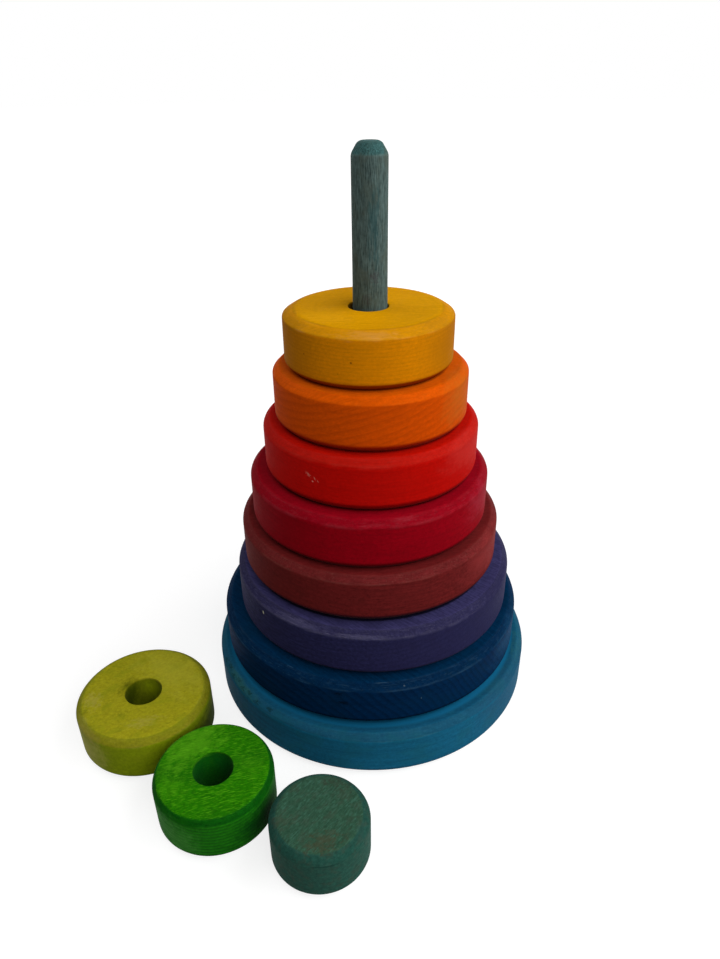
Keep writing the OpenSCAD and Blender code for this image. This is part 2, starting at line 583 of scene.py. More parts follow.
@dataclass(frozen=True)
class StainedWood:
    """Close-grained wood with a water stain, rubbed dull by use.

    Lengths are in millimetres.

    Attributes:
        stain: The stain's colour on the upper face.
        bevel: The stain's colour on the upper bevel.
        side: The stain's colour on the side and the lower bevel.
        deep: The colour of dark fibres, late wood and end grain.
        pale: The colour of pale fibres on the upper face.
        worn: The colour of wood where the stain has rubbed thin.
        blotch: The colour of blotches.
        grain_turn: Which way the fibres run, in degrees anticlockwise from the X axis.
        grain_rise: How steeply the fibres rise, in degrees.
        layer_tilt: How far the growth layers lean about the fibres, in degrees.
        layer_spacing: Thickness of a growth layer.
        layer_bend: How far the growth layers wander, in layers.
        fibre_length: Length of a fibre streak.
        fibre_width: Width of a fibre streak.
        fibre: How far the fibres lighten and darken the stain.
        pale_fibre: How far pale fibres on the upper face take their own colour.
        mottle: Strength of the stain's fine unevenness.
        layers: Strength of the growth layers.
        pores: Strength of the pores.
        end_grain: How much the end grain darkens.
        blotches: Strength of the blotches.
        blotch_size: Size of a blotch.
        bands: Strength of the broad turning bands.
        lines: Strength of the fine rubbed lines on the bevel.
        grit: Strength of the pale specks on the bevel.
        wear: Share of the upper arrises that is worn.
        wear_breadth: How wide the wear along an arris is.
        wear_share: How far the worn colour covers the stain.
        crease: How dark the upper bevel's inner crease is.
        under: The colour of the painted shade on the lower bevel and the underside, or None for deep.
        foot: How far that colour covers them.
        foot_rise: How far above the lower bevel that colour starts.
        joint_shade: How dark the painted shade is on the underside and at the joints with other pieces.
        seat_breadth: How far that painted shade spreads round the piece above.
        seat_light: The lighter colour round the foot of the piece above, painted light that lifts the shade
            there, or None.
        seat_light_reach: How far past the foot of the piece above that painted light shows.
        hole: The colour of the hole's wall, or None for deep.
        inside: How far that colour covers the hole's wall.
        haze: Strength of the dusty haze that shows at a slant.
        haze_roughness: How broadly the haze spreads in from the outline.
        roughness: Roughness of the surface.
        specular: Strength of its reflections.
        relief: Depth of the raised grain.
        marks: Marks at single places.
    """

    stain: str
    bevel: str
    side: str
    deep: str
    pale: str
    worn: str
    blotch: str
    grain_turn: float = 0.0
    grain_rise: float = 0.0
    layer_tilt: float = 8.0
    layer_spacing: float = 3.0
    layer_bend: float = 2.0
    fibre_length: float = 7.0
    fibre_width: float = 0.6
    fibre: float = 0.3
    pale_fibre: float = 0.1
    mottle: float = 0.7
    layers: float = 0.15
    pores: float = 0.2
    end_grain: float = 0.15
    blotches: float = 0.2
    blotch_size: float = 14.0
    bands: float = 0.15
    lines: float = 0.15
    grit: float = 0.1
    wear: float = 0.4
    wear_breadth: float = 0.7
    wear_share: float = 0.35
    crease: float = 0.0
    under: str | None = None
    foot: float = 0.9
    foot_rise: float = 0.0
    joint_shade: float = 0.6
    seat_breadth: float = 1.3
    seat_light: str | None = None
    seat_light_reach: float = 1.6
    hole: str | None = None
    inside: float = 0.8
    haze: float = 0.04
    haze_roughness: float = 0.4
    roughness: float = 0.6
    specular: float = 0.01
    relief: float = 0.04
    marks: tuple[Mark, ...] = ()

    def material(
        self, name: str, centre: Vector, spans: RimSpans, seat: Seat | None = None,
    ) -> bpy.types.Material:
        """Makes the finish for one piece.

        Args:
            name: The material's name.
            centre: The middle of the piece's underside, in metres.
            spans: Lengths along the piece's profile.
            seat: Where the piece above stands, if one does.

        Returns:
            The material.
        """
        made = bpy.data.materials.new(name)
        graph = Graph.cleared(made)
        coords = graph.node("ShaderNodeTexCoord").outputs
        turn = [math.radians(angle) for angle in (self.layer_tilt, -self.grain_rise, self.grain_turn)]
        own = self.mapped(graph, coords["Object"], centre)
        along = self.mapped(graph, coords["Object"], centre, turn)
        facing = self.mapped(graph, coords["Normal"], Vector(), turn, (1.0, 1.0, 1.0))
        masks = self.patterns(graph, own, along, spans)
        ends = graph.math("ABSOLUTE", graph.node("ShaderNodeSeparateXYZ", {0: facing}).outputs[0])
        masks["Ends"] = graph.ramp(ends, *ENDS_FADE)
        masks["Top"] = graph.rest(masks["Below Top"])
        tone = self.stained(graph, masks)
        for mark in self.marks:
            tone = self.marked(graph, coords["Object"], centre, mark, masks["Lines"], tone)
        # Painted shade: darker at the joint with the piece below and on the underside
        tone = self.shaded(graph, tone, masks["Joint"])
        # Round the piece above: painted light that lifts the stain, and painted shade at the seat's edge
        if seat is not None:
            tone = self.seated(graph, self.mapped(graph, coords["Object"], seat.centre), seat, masks, tone)
        sway = (self.roughness + ROUGHNESS_SWAY, self.roughness - ROUGHNESS_SWAY)
        values = {
            "Base Color": tone,
            "Roughness": graph.ramp(masks["Fibre"], *FIBRE_FADE, *sway),
            "Specular IOR Level": self.specular,
            "Sheen Weight": self.haze,
            "Sheen Roughness": self.haze_roughness,
            "Normal": self.raised(graph, masks),
        }
        shader = graph.node("ShaderNodeBsdfPrincipled", values)
        graph.node("ShaderNodeOutputMaterial", {"Surface": shader.outputs[0]})
        return made

    def patterns(self, graph: Graph, own: Socket, along: Socket, spans: RimSpans) -> dict[str, Socket]:
        """Places the shared patterns in the material.

        Args:
            graph: The material's graph.
            own: Millimetres from the middle of the piece's underside.
            along: The same, turned so that X runs along the fibres.
            spans: Lengths along the piece's profile.

        Returns:
            Every pattern's output by name.
        """
        rim = graph.node("ShaderNodeAttribute", attribute_name=RIM_ATTRIBUTE).outputs["Fac"]
        grain = {
            "At": along, "Fibre Length": self.fibre_length, "Fibre Width": self.fibre_width,
            "Layer Spacing": self.layer_spacing, "Layer Bend": self.layer_bend,
            "Blotch Size": self.blotch_size,
        }
        wear = {
            "At": own, "Rim": rim, "Upper": spans.upper, "Side": spans.side, "Lower": spans.lower,
            "Flat": spans.flat, "Breadth": self.wear_breadth, "Amount": self.wear, "Rise": self.foot_rise,
        }
        return {
            **self.effect(graph, Effect.GRAIN, grain),
            **self.effect(graph, Effect.TURNING, {"At": own, "Rim": rim}),
            **self.effect(graph, Effect.WEAR, wear),
        }

    def stained(self, graph: Graph, masks: dict[str, Socket]) -> Socket:
        """Lays the colours over each other.

        Args:
            graph: The material's graph.
            masks: Every pattern's output by name.

        Returns:
            The colour's socket.
        """
        on_bevel = masks["Bevel Face"]
        pale = graph.times(graph.ramp(masks["Fibre"], *PALE_FADE), masks["Top"])
        level = graph.times(graph.math("MAXIMUM", masks["Top"], on_bevel), FLAT_LAYER_LOSS)
        layer = graph.times(masks["Layers"], graph.rest(level))
        tone = graph.mix(masks["Below Top"], colour(self.stain), colour(self.side))
        tone = graph.mix(on_bevel, tone, colour(self.bevel))
        across = graph.ramp(masks["Ends"], 0.0, 1.0, self.fibre, END_FIBRE * self.fibre)
        sway = graph.times(graph.math("SUBTRACT", masks["Fibre"], 0.5), across)
        uneven = graph.times(graph.math("SUBTRACT", masks["Mottle"], 0.5), self.mottle)
        gain = graph.math("ADD", graph.times(sway, FIBRE_GAIN), uneven)
        tone = graph.gained(tone, graph.math("ADD", gain, 1.0))
        layers = (
            (pale, self.pale_fibre, self.pale),
            (layer, self.layers, self.deep),
            (masks["Pores"], self.pores, self.deep),
            (masks["Ends"], self.end_grain, self.deep),
            (masks["Blotch"], self.blotches, self.blotch),
            (masks["Bands"], self.bands, self.deep),
            (graph.times(masks["Lines"], on_bevel), self.lines, self.worn),
            (graph.times(masks["Grit"], on_bevel), self.grit, self.worn),
            (masks["Worn"], self.wear_share, self.worn),
            (masks["Crease"], self.crease, self.deep),
            # Painted shade: darker towards the bottom, over the lower bevel and the underside
            (masks["Foot"], self.foot, self.under or self.deep),
            (masks["Inside"], self.inside, self.hole or self.deep),
        )
        for mask, share, paint in layers:
            if share > 0.0:
                tone = graph.mix(graph.times(mask, share), tone, colour(paint))
        return tone

    def shaded(self, graph: Graph, tone: Socket, mask: Socket) -> Socket:
        """Paints shade by darkening a colour where a mask says, and gives its socket."""
        return graph.gained(tone, graph.rest(graph.times(mask, self.joint_shade)))

    def seated(
        self, graph: Graph, at: Socket, seat: Seat, masks: dict[str, Socket], tone: Socket,
    ) -> Socket:
        """Paints light and shade on the upper face round the piece above: a lighter stain, and painted shade
        at its edge.

        Args:
            graph: The material's graph.
            at: Millimetres from the middle of the seat.
            seat: The seat.
            masks: Every pattern's output by name.
            tone: The colour below it.

        Returns:
            The colour's socket.
        """
        # Painted light: a lighter stain round the piece above lifts the shade there
        if self.seat_light is not None:
            reach = {"At": at, "Radius": seat.radius + self.seat_light_reach, "Breadth": SEAT_LIGHT_BREADTH}
            seat_lit = graph.times(self.effect(graph, Effect.SEAT, reach)["Covered"], masks["Top"])
            tone = graph.mix(seat_lit, tone, colour(self.seat_light))
        # Painted shade at the edge of the seat
        reach = {"At": at, "Radius": seat.radius, "Breadth": self.seat_breadth}
        edge = self.effect(graph, Effect.SEAT, reach)["Edge"]
        return self.shaded(graph, tone, graph.times(edge, masks["Top"]))

    def raised(self, graph: Graph, masks: dict[str, Socket]) -> Socket:
        """Raises the fibres and sinks the pores and the worn arrises.

        Args:
            graph: The material's graph.
            masks: Every pattern's output by name.

        Returns:
            The bumped normal's socket.
        """
        pits = graph.math("ADD", graph.times(masks["Pores"], PORE_SINK), masks["Worn"])
        waves = graph.times(masks["Bands"], BAND_RISE)
        height = graph.math("SUBTRACT", graph.math("ADD", masks["Fibre"], waves), pits)
        bump = {"Strength": BUMP_STRENGTH, "Distance": self.relief * MM, "Height": height}
        return graph.node("ShaderNodeBump", bump).outputs[0]

    def marked(
        self, graph: Graph, at: Socket, centre: Vector, mark: Mark, lines: Socket, tone: Socket,
    ) -> Socket:
        """Lays one mark over the colour.

        Args:
            graph: The material's graph.
            at: Object coordinates.
            centre: The middle of the piece's underside, in metres.
            mark: The mark.
            lines: The mask of the fine turning lines.
            tone: The colour below it.

        Returns:
            The marked colour's socket.
        """
        size = [length * MM for length in mark.size]
        lean = (0.0, math.radians(mark.lean), math.radians(mark.bearing))
        here = self.mapped(graph, at, centre + mark.offset(), lean, size)
        spot = self.effect(graph, Effect.SPOT, {"At": here, "Ragged": mark.ragged})
        streaks = graph.ramp(lines, 0.0, 1.0, 1.0 - mark.streaks, 1.0)
        cover = graph.times(graph.times(spot["Mask"], streaks), mark.share)
        return graph.mix(cover, tone, colour(mark.colour))

    @staticmethod
    def mapped(
        graph: Graph, at: Socket, centre: Vector, turn: Sequence[float] = (0.0, 0.0, 0.0),
        unit: Sequence[float] = (MM, MM, MM),
    ) -> Socket:
        """Gives coordinates about a centre, turned by three angles, in a pattern's own unit lengths."""
        values = {"Vector": at, "Location": centre, "Rotation": turn, "Scale": unit}
        return graph.node("ShaderNodeMapping", values, vector_type="TEXTURE").outputs[0]

    @staticmethod
    def effect(graph: Graph, effect: Effect, values: dict[str, Value]) -> dict[str, Socket]:
        """Places a shared group in the material with its inputs, and gives its outputs by name."""
        made = graph.node("ShaderNodeGroup", values, node_tree=EffectKit().group(effect))
        return {socket.name: socket for socket in made.outputs}


@dataclass(frozen=True)
class Nick(Place):
    """A small dent in an edge or a face.

    Attributes:
        radius: Its radius, in millimetres.
        depth: Its depth, in millimetres.
    """

    radius: float
    depth: float


@dataclass
class TurnedPiece:
    """A piece turned on a lathe, which replaces the CAD node of the same name.

    Attributes:
        node: The CAD node, which is also the body that the piece rides on.
        slot: The record's material slot, which is not used.
        finish: The finish.
        seed: Shifts the piece's wear, so that no two pieces wear alike.
        arris: How far the softening reaches on either side of an arris, in millimetres.
        arris_steps: Steps across a softened arris.
        edge_wear: Greatest depth of the wear along an arris, in millimetres.
        face_wear: Greatest depth of the waves in the surface, in millimetres.
        facet: Length of one step round the piece, in millimetres.
        support_rings: Widths of the rings set into a level face beside its arrises, in millimetres.
        side_cuts: Number of extra rings on each upright wall.
        nicks: Dents at single places.
        above: The CAD node that stands on the piece, if one does.
        centre: The middle of its underside, in metres.
        radius: Its outer radius, in metres.
        height: Its height, in metres.
    """

    node: str
    slot: str
    finish: StainedWood
    seed: float = 0.0
    arris: float = 0.5
    arris_steps: int = 5
    edge_wear: float = 0.14
    face_wear: float = 0.02
    facet: float = 1.2
    support_rings: tuple[float, ...] = (0.5, 1.5)
    side_cuts: int = 8
    nicks: tuple[Nick, ...] = ()
    above: str | None = None
    centre: Vector = field(init=False)
    radius: float = field(init=False)
    height: float = field(init=False)

    def __post_init__(self) -> None:
        """Reads the piece's place and size from the frame."""
        self.centre, self.radius, self.height = measured(self.node)

    @property
    def spans(self) -> RimSpans:
        """The lengths along the profile."""
        raise NotImplementedError

    def seat(self) -> Seat | None:
        """Tells where the piece above stands."""
        return None

    def corners(self) -> list[tuple[float, float]]:
        """Gives the profile's corners as radius and height, in metres, from the underside upwards."""
        raise NotImplementedError

    def arrises(self) -> dict[tuple[float, float], float]:
        """Gives each softened corner with the reach of its softening, in metres."""
        raise NotImplementedError

    def wedge_steps(self) -> int:
        """Gives the number of steps in each of the equal wedges that make up a full turn."""
        return max(FEWEST_STEPS, round(2 * math.pi * self.radius / (self.facet * MM) / WEDGES))

    @staticmethod
    def spin(bm: bmesh.types.BMesh, angle: float, steps: int, duplicate: bool) -> None:
        """Spins all that a mesh holds about the Z axis, in joined steps or in separate copies."""
        bmesh.ops.spin(
            bm, geom=bm.verts[:] + bm.edges[:] + bm.faces[:], cent=(0.0, 0.0, 0.0), axis=(0.0, 0.0, 1.0),
            dvec=(0.0, 0.0, 0.0), angle=angle, steps=steps, use_merge=False, use_duplicate=duplicate,
        )

    def turn(self) -> bmesh.types.BMesh:
        """Turns the profile into a closed solid about the Z axis.

        Returns:
            The solid, standing on the floor at the origin.
        """
        bm = bmesh.new()
        verts = [bm.verts.new((r, 0.0, z)) for r, z in self.corners()]
        pairs = list(zip(verts, verts[1:]))
        if verts[0].co.x > ON_LINE:
            pairs.append((verts[-1], verts[0]))
        edges = [bm.edges.new(pair) for pair in pairs]
        walls = [e for e in edges if abs(e.verts[0].co.x - e.verts[1].co.x) < ON_LINE]
        bmesh.ops.subdivide_edges(bm, edges=walls, cuts=self.side_cuts)
        to_axis = [e for e in bm.edges if any(v.co.x < ON_LINE for v in e.verts)]
        bmesh.ops.subdivide_edges(bm, edges=to_axis, cuts=1)
        self.spin(bm, 2 * math.pi / WEDGES, self.wedge_steps(), False)
        self.spin(bm, 2 * math.pi * (WEDGES - 1) / WEDGES, WEDGES - 1, True)
        bmesh.ops.remove_doubles(bm, verts=bm.verts[:], dist=ON_LINE / 10)
        bmesh.ops.recalc_face_normals(bm, faces=bm.faces[:])
        return bm

    def soften(self, bm: bmesh.types.BMesh) -> None:
        """Rounds the arrises and rings the level faces, so that they shade flat.

        Args:
            bm: The turned solid.
        """
        for (radius, height), reach in self.arrises().items():
            loop = [e for e in bm.edges if all(self.is_at(v, radius, height) for v in e.verts)]
            bmesh.ops.bevel(
                bm, geom=loop, offset=reach, offset_type="OFFSET", segments=self.arris_steps, profile=0.5,
                affect="EDGES", clamp_overlap=True, material=-1,
            )
        bm.normal_update()
        for height in (0.0, self.height):
            level = [
                f for f in bm.faces
                if len(f.verts) == 4 and all(abs(v.co.z - height) < ON_LINE for v in f.verts)
            ]
            for breadth in self.support_rings:
                bmesh.ops.inset_region(
                    bm, faces=level, thickness=breadth * MM, depth=0.0, use_even_offset=True,
                    use_boundary=True,
                )

    @staticmethod
    def is_at(vert: bmesh.types.BMVert, radius: float, height: float) -> bool:
        """Tells whether a vertex lies on the circle of that radius and height."""
        return abs(math.hypot(vert.co.x, vert.co.y) - radius) < ON_LINE and abs(vert.co.z - height) < ON_LINE

    def weather(self, bm: bmesh.types.BMesh) -> None:
        """Wears the arrises, waves the faces a little and dents the nicks, always inwards.

        Args:
            bm: The softened solid.
        """
        bm.normal_update()
        corners = list(self.arrises())
        shift = Vector([self.seed * step for step in SEED_STEPS])
        moves: list[tuple[bmesh.types.BMVert, Vector]] = []
        for vert in bm.verts:
            r = math.hypot(vert.co.x, vert.co.y)
            near = min(math.hypot(r - radius, vert.co.z - height) for radius, height in corners) / MM
            at = vert.co / MM
            patch = self.cloud(at * WORN_PATCH_SCALE + shift)
            grit = self.cloud(at * WORN_GRIT_SCALE + shift)
            worn = max(0.0, 1.0 - near / EDGE_WEAR_REACH) ** 2
            edge = worn * patch * (1.0 - GRIT_SHARE + GRIT_SHARE * grit)
            wave = self.cloud(at * WAVE_SCALE - shift) * (1.0 - abs(vert.normal.z))
            depth = self.edge_wear * edge + self.face_wear * wave
            for nick in self.nicks:
                away = (vert.co - nick.offset()).length / MM
                depth += nick.depth * max(0.0, 1.0 - (away / nick.radius) ** 2) ** 2
            moves.append((vert, vert.normal * -depth * MM))
        for vert, move in moves:
            vert.co += move

    @staticmethod
    def cloud(at: Vector) -> float:
        """Gives a soft noise from 0 to 1."""
        return 0.5 + 0.5 * noise.noise(at)

    def rim_at(self, radius: float, height: float) -> float:
        """Measures a point's distance along the profile, in millimetres, from the upper outer arris."""
        raise NotImplementedError

    def build(self) -> bpy.types.Object:
        """Models the piece and puts it where its CAD node stands.

        Returns:
            The finished object.
        """
        bm = self.turn()
        self.soften(bm)
        rim = bm.verts.layers.float.new(RIM_ATTRIBUTE)
        for vert in bm.verts:
            vert[rim] = self.rim_at(math.hypot(vert.co.x, vert.co.y), vert.co.z)
        self.weather(bm)
        bmesh.ops.translate(bm, verts=bm.verts[:], vec=self.centre)
        for face in bm.faces:
            face.smooth = True
        return finished(f"turned_{self.node}", bm)

    def dress(self, made: bpy.types.Object) -> None:
        """Gives the piece its finish, and its place among the CAD bodies.

        Args:
            made: The finished object.
        """
        name = f"stained_{self.node}"
        made.data.materials.append(self.finish.material(name, self.centre, self.spans, self.seat()))
        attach(made, self.node)
        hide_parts(self.node)

    def make(self) -> bpy.types.Object:
        """Builds and dresses the piece, and reports it.

        Returns:
            The finished object.
        """
        made = self.build()
        self.dress(made)
        size = tuple(round(length / MM, 1) for length in made.dimensions)
        LOG.info("%s: %s mm, %d faces", made.name, size, len(made.data.polygons))
        return made


@dataclass
class TurnedDisc(TurnedPiece):
    """A disc with a bevel round both faces, drilled for the dowel.

    Lengths are in millimetres.

    Attributes:
        bore: How it is drilled.
        bore_radius: Radius of the hole.
        bore_depth: Depth of a blind hole.
        bevel_width: Width of the lower bevel.
        top_bevel_width: Width of the upper bevel.
        bevel_height: Height of the upper bevel.
        foot_height: Height of the lower bevel.
        mouth: Softening of the hole's mouth.
        top_arris: Reach of the softening where the upper bevel meets the upper face.
    """

    bore: Bore = Bore.THROUGH
    bore_radius: float = 7.0
    bore_depth: float = 12.0
    bevel_width: float = 2.4
    top_bevel_width: float = 2.4
    bevel_height: float = 2.4
    foot_height: float = 2.4
    mouth: float = 0.3
    top_arris: float = 0.6

    @property
    def spans(self) -> RimSpans:
        """The lengths along the profile."""
        hole = 0.0 if self.bore is Bore.FROM_BELOW else self.bore_radius
        return RimSpans(
            upper=math.hypot(self.top_bevel_width, self.bevel_height),
            side=self.height / MM - self.bevel_height - self.foot_height,
            lower=math.hypot(self.bevel_width, self.foot_height),
            flat=self.radius / MM - self.top_bevel_width - hole,
        )

    def seat(self) -> Seat | None:
        """Tells where the piece above stands.

        Returns:
            Its seat, or None if nothing stands on the disc.
        """
        if self.above is None:
            return None
        centre, radius, _ = measured(self.above)
        return Seat(centre, radius / MM - self.bevel_width)

    def rim_corners(self) -> list[tuple[float, float]]:
        """Gives the four outer corners as radius and height, in metres, from the underside upwards."""
        return [
            (self.radius - self.bevel_width * MM, 0.0),
            (self.radius, self.foot_height * MM),
            (self.radius, self.height - self.bevel_height * MM),
            (self.radius - self.top_bevel_width * MM, self.height),
        ]

    def corners(self) -> list[tuple[float, float]]:
        """Gives the profile's corners.

        Returns:
            Each corner's radius and height, in metres, from the underside upwards.
        """
        hole = self.bore_radius * MM
        depth = self.bore_depth * MM
        rim = self.rim_corners()
        if self.bore is Bore.THROUGH:
            return [(hole, 0.0), *rim, (hole, self.height)]
        if self.bore is Bore.FROM_ABOVE:
            floor = self.height - depth
            return [(0.0, 0.0), *rim, (hole, self.height), (hole, floor), (0.0, floor)]
        return [(0.0, depth), (hole, depth), (hole, 0.0), *rim, (0.0, self.height)]

    def arrises(self) -> dict[tuple[float, float], float]:
        """Gives the corners that are softened.

        Returns:
            The reach of each corner's softening by its radius and height, in metres.
        """
        *lower, inner = self.rim_corners()
        soft = {corner: self.arris * MM for corner in lower}
        soft[inner] = self.top_arris * MM
        mouths = {
            Bore.THROUGH: (0.0, self.height),
            Bore.FROM_ABOVE: (self.height,),
            Bore.FROM_BELOW: (0.0,),
        }
        for height in mouths[self.bore]:
            soft[(self.bore_radius * MM, height)] = self.mouth * MM
        return soft

    def rim_at(self, radius: float, height: float) -> float:
        """Measures along the profile from the upper outer arris.

        Args:
            radius: Distance from the axis, in metres.
            height: Height above the underside, in metres.

        Returns:
            The distance in millimetres, positive down the side and negative over the bevel, the top and
            down the hole.
        """
        spans = self.spans
        r, z = radius / MM, height / MM
        outer = self.radius / MM
        top = self.height / MM
        if self.bore is not Bore.FROM_BELOW and r < self.bore_radius + self.mouth / 2:
            return -spans.upper - spans.flat - (top - z)
        if z > top - self.bevel_height:
            over = min(spans.upper, spans.upper * max(outer - r, 0.0) / self.top_bevel_width)
            return -over - max(outer - self.top_bevel_width - r, 0.0)
        if z < self.foot_height:
            under = min(spans.lower, spans.lower * max(outer - r, 0.0) / self.bevel_width)
            return spans.side + under + max(outer - self.bevel_width - r, 0.0)
        return top - self.bevel_height - z


@dataclass
class Dowel(TurnedPiece):
    """The dowel, with a bevelled foot and a tapered tip.

    Lengths are in millimetres.

    Attributes:
        tip_height: Height of the tapered tip.
        tip_radius: Radius of the flat end of the tip.
        foot_bevel: Width and height of the bevel round the foot.
        shoulder_arris: Reach of the softening where the tip starts.
        end_arris: Reach of the softening round the tip's flat end.
    """

    side_cuts: int = 60
    tip_height: float = 3.8
    tip_radius: float = 3.7
    foot_bevel: float = 1.0
    shoulder_arris: float = 0.7
    end_arris: float = 1.1

    @property
    def spans(self) -> RimSpans:
        """The lengths along the profile."""
        return RimSpans(
            upper=math.hypot(self.radius / MM - self.tip_radius, self.tip_height),
            side=self.height / MM - self.tip_height - self.foot_bevel,
            lower=math.hypot(self.foot_bevel, self.foot_bevel),
            flat=self.tip_radius,
        )

    def corners(self) -> list[tuple[float, float]]:
        """Gives the profile's corners as radius and height, in metres, from the foot upwards."""
        foot = self.foot_bevel * MM
        return [
            (0.0, 0.0),
            (self.radius - foot, 0.0),
            (self.radius, foot),
            (self.radius, self.height - self.tip_height * MM),
            (self.tip_radius * MM, self.height),
            (0.0, self.height),
        ]

    def arrises(self) -> dict[tuple[float, float], float]:
        """Gives each softened corner with the reach of its softening, in metres."""
        shoulder, end = self.corners()[3:5]
        return {shoulder: self.shoulder_arris * MM, end: self.end_arris * MM}

    def rim_at(self, radius: float, height: float) -> float:
        """Measures along the profile from the tip's shoulder.

        Args:
            radius: Distance from the axis, in metres.
            height: Height above the foot, in metres.

        Returns:
            The distance in millimetres, positive down the side and negative over the tip.
        """
        taper = self.spans.upper
        shoulder = self.height / MM - self.tip_height
        above = height / MM - shoulder
        if above <= 0:
            return -above
        inside = max(self.tip_radius - radius / MM, 0.0)
        return -taper * min(above / self.tip_height, 1.0) - inside


@dataclass
class Tower:
    """The base, the dowel and the seven rings that stand on it.

    Attributes:
        base_socket_radius: Radius of the base's socket, in millimetres.
        base_socket_depth: Depth of the base's socket, in millimetres.
        wide_bevel: Width of the yellow ring's upper bevel, in millimetres.
        deep_bevel: Width and height of the lower bevels of the dark blue and maroon rings, in millimetres.
    """

    base_socket_radius: float = 6.06
    base_socket_depth: float = 15.0
    wide_bevel: float = 3.8
    deep_bevel: float = 3.2

    def base(self) -> TurnedDisc:
        """Describes the light blue base disc."""
        finish = StainedWood(
            stain="#134f6d", bevel="#1a526d", side="#145e7d", deep="#0a3248", pale="#1c6480",
            worn="#447880", blotch="#185a66",
            grain_turn=10.0, layer_tilt=4.0, fibre=0.08, layers=0.08, pores=0.1, blotches=0.35,
            blotch_size=7.0, bands=0.2, lines=0.08, wear=0.35, wear_share=0.2, under="#0f3a48", foot=0.5,
            # Painted shade round the dark blue ring's foot, and painted light that lifts the stain round it
            joint_shade=0.2, seat_breadth=0.8, seat_light="#12638a", haze=0.02,
            marks=(
                Mark(-56.0, 64.2, 18.8, (20.0, 2.8, 2.0), "#33685f", share=0.5, ragged=0.6),
                *(
                    Mark(bearing, 64.2, height, (2.2, 1.4, 0.9), "#0f3030", share=0.7, ragged=1.0)
                    for bearing, height in (
                        (-69.0, 18.4), (-64.5, 19.0), (-60.0, 18.3), (-56.5, 19.1), (-52.5, 18.4),
                        (-49.0, 18.9), (-44.0, 18.3), (-38.0, 18.8),
                    )
                ),
                Mark(74.0, 62.5, 19.0, (12.0, 3.4, 2.2), "#2b6467", share=0.4, ragged=0.6),
                # Painted shade: a darker, greyer right side
                Mark(56.0, 64.0, 12.0, (34.0, 10.0, 14.0), "#26435c", share=0.35, ragged=0.3),
            ),
        )
        return TurnedDisc(
            "base_disc", "light_blue", finish, above="dark_blue_ring", seed=1.0, bore=Bore.FROM_ABOVE,
            bore_radius=self.base_socket_radius, bore_depth=self.base_socket_depth, arris=0.9,
        )

    def dowel(self) -> Dowel:
        """Describes the teal-grey dowel."""
        finish = StainedWood(
            stain="#3a5f5e", bevel="#3a5e5d", side="#4d5f5c", deep="#2c3430", pale="#5f7c76",
            worn="#6f8a84", blotch="#4c5246",
            grain_rise=90.0, layer_tilt=30.0, layer_spacing=2.4, fibre_length=3.6, fibre_width=0.3,
            fibre=0.6, mottle=0.8, pores=0.35, layers=0.15, blotches=0.45, blotch_size=5.0, bands=0.0,
            lines=0.0, foot=0.0, inside=0.0,
            marks=(
                Mark(12.0, 6.0, 181.0, (2.6, 3.0, 17.0), "#1d4a4e", share=0.45, ragged=0.7),
                Mark(14.0, 6.0, 165.5, (2.2, 2.0, 2.6), "#463f44", share=0.45, ragged=0.8),
                Mark(-12.0, 6.0, 158.5, (2.0, 2.0, 2.4), "#463f44", share=0.3, ragged=0.8),
            ),
        )
        return Dowel("dowel", "teal_grey", finish, seed=2.0, support_rings=())

    def dark_blue(self) -> TurnedDisc:
        """Describes the dark blue ring, scratched round its bevel and hatched by its end grain."""
        finish = StainedWood(
            stain="#022949", bevel="#022342", side="#012345", deep="#010d1e", pale="#123f5e",
            worn="#4f7690", blotch="#04283a",
            grain_turn=-45.0, layer_tilt=-58.0, layer_spacing=2.3, layer_bend=2.2, fibre=0.15, layers=0.34,
            end_grain=0.0, lines=0.1, wear=0.45, wear_share=0.13, under="#01101f", foot_rise=0.4,
            joint_shade=0.8, haze=0.0,
            marks=(
                # Painted light: a paler patch on the right side, where the lamps fall
                Mark(66.0, 61.0, 11.0, (24.0, 9.0, 11.0), "#1f5578", share=0.29, ragged=0.3),
                Mark(-31.0, 58.5, 20.0, (2.2, 0.35, 0.25), "#5d8098", share=0.2),
                Mark(-14.5, 58.6, 20.0, (2.6, 0.3, 0.25), "#5d8098", share=0.16),
                Mark(3.5, 58.6, 19.8, (3.6, 0.35, 0.25), "#5d8098", share=0.16),
                Mark(11.0, 60.0, 18.6, (0.5, 0.5, 0.35), "#8fa6ae", share=0.2),
                Mark(17.0, 61.0, 11.8, (0.3, 0.5, 0.6), "#6d8a92", share=0.3),
                Mark(-11.5, 61.0, 15.7, (2.2, 0.8, 1.2), "#010814", share=0.7),
                Mark(-10.0, 61.0, 11.5, (2.8, 0.8, 1.1), "#010814", share=0.7),
            ),
        )
        return TurnedDisc(
            "dark_blue_ring", "dark_blue", finish, above="purple_ring", seed=3.0,
            bevel_width=self.deep_bevel, foot_height=self.deep_bevel,
        )

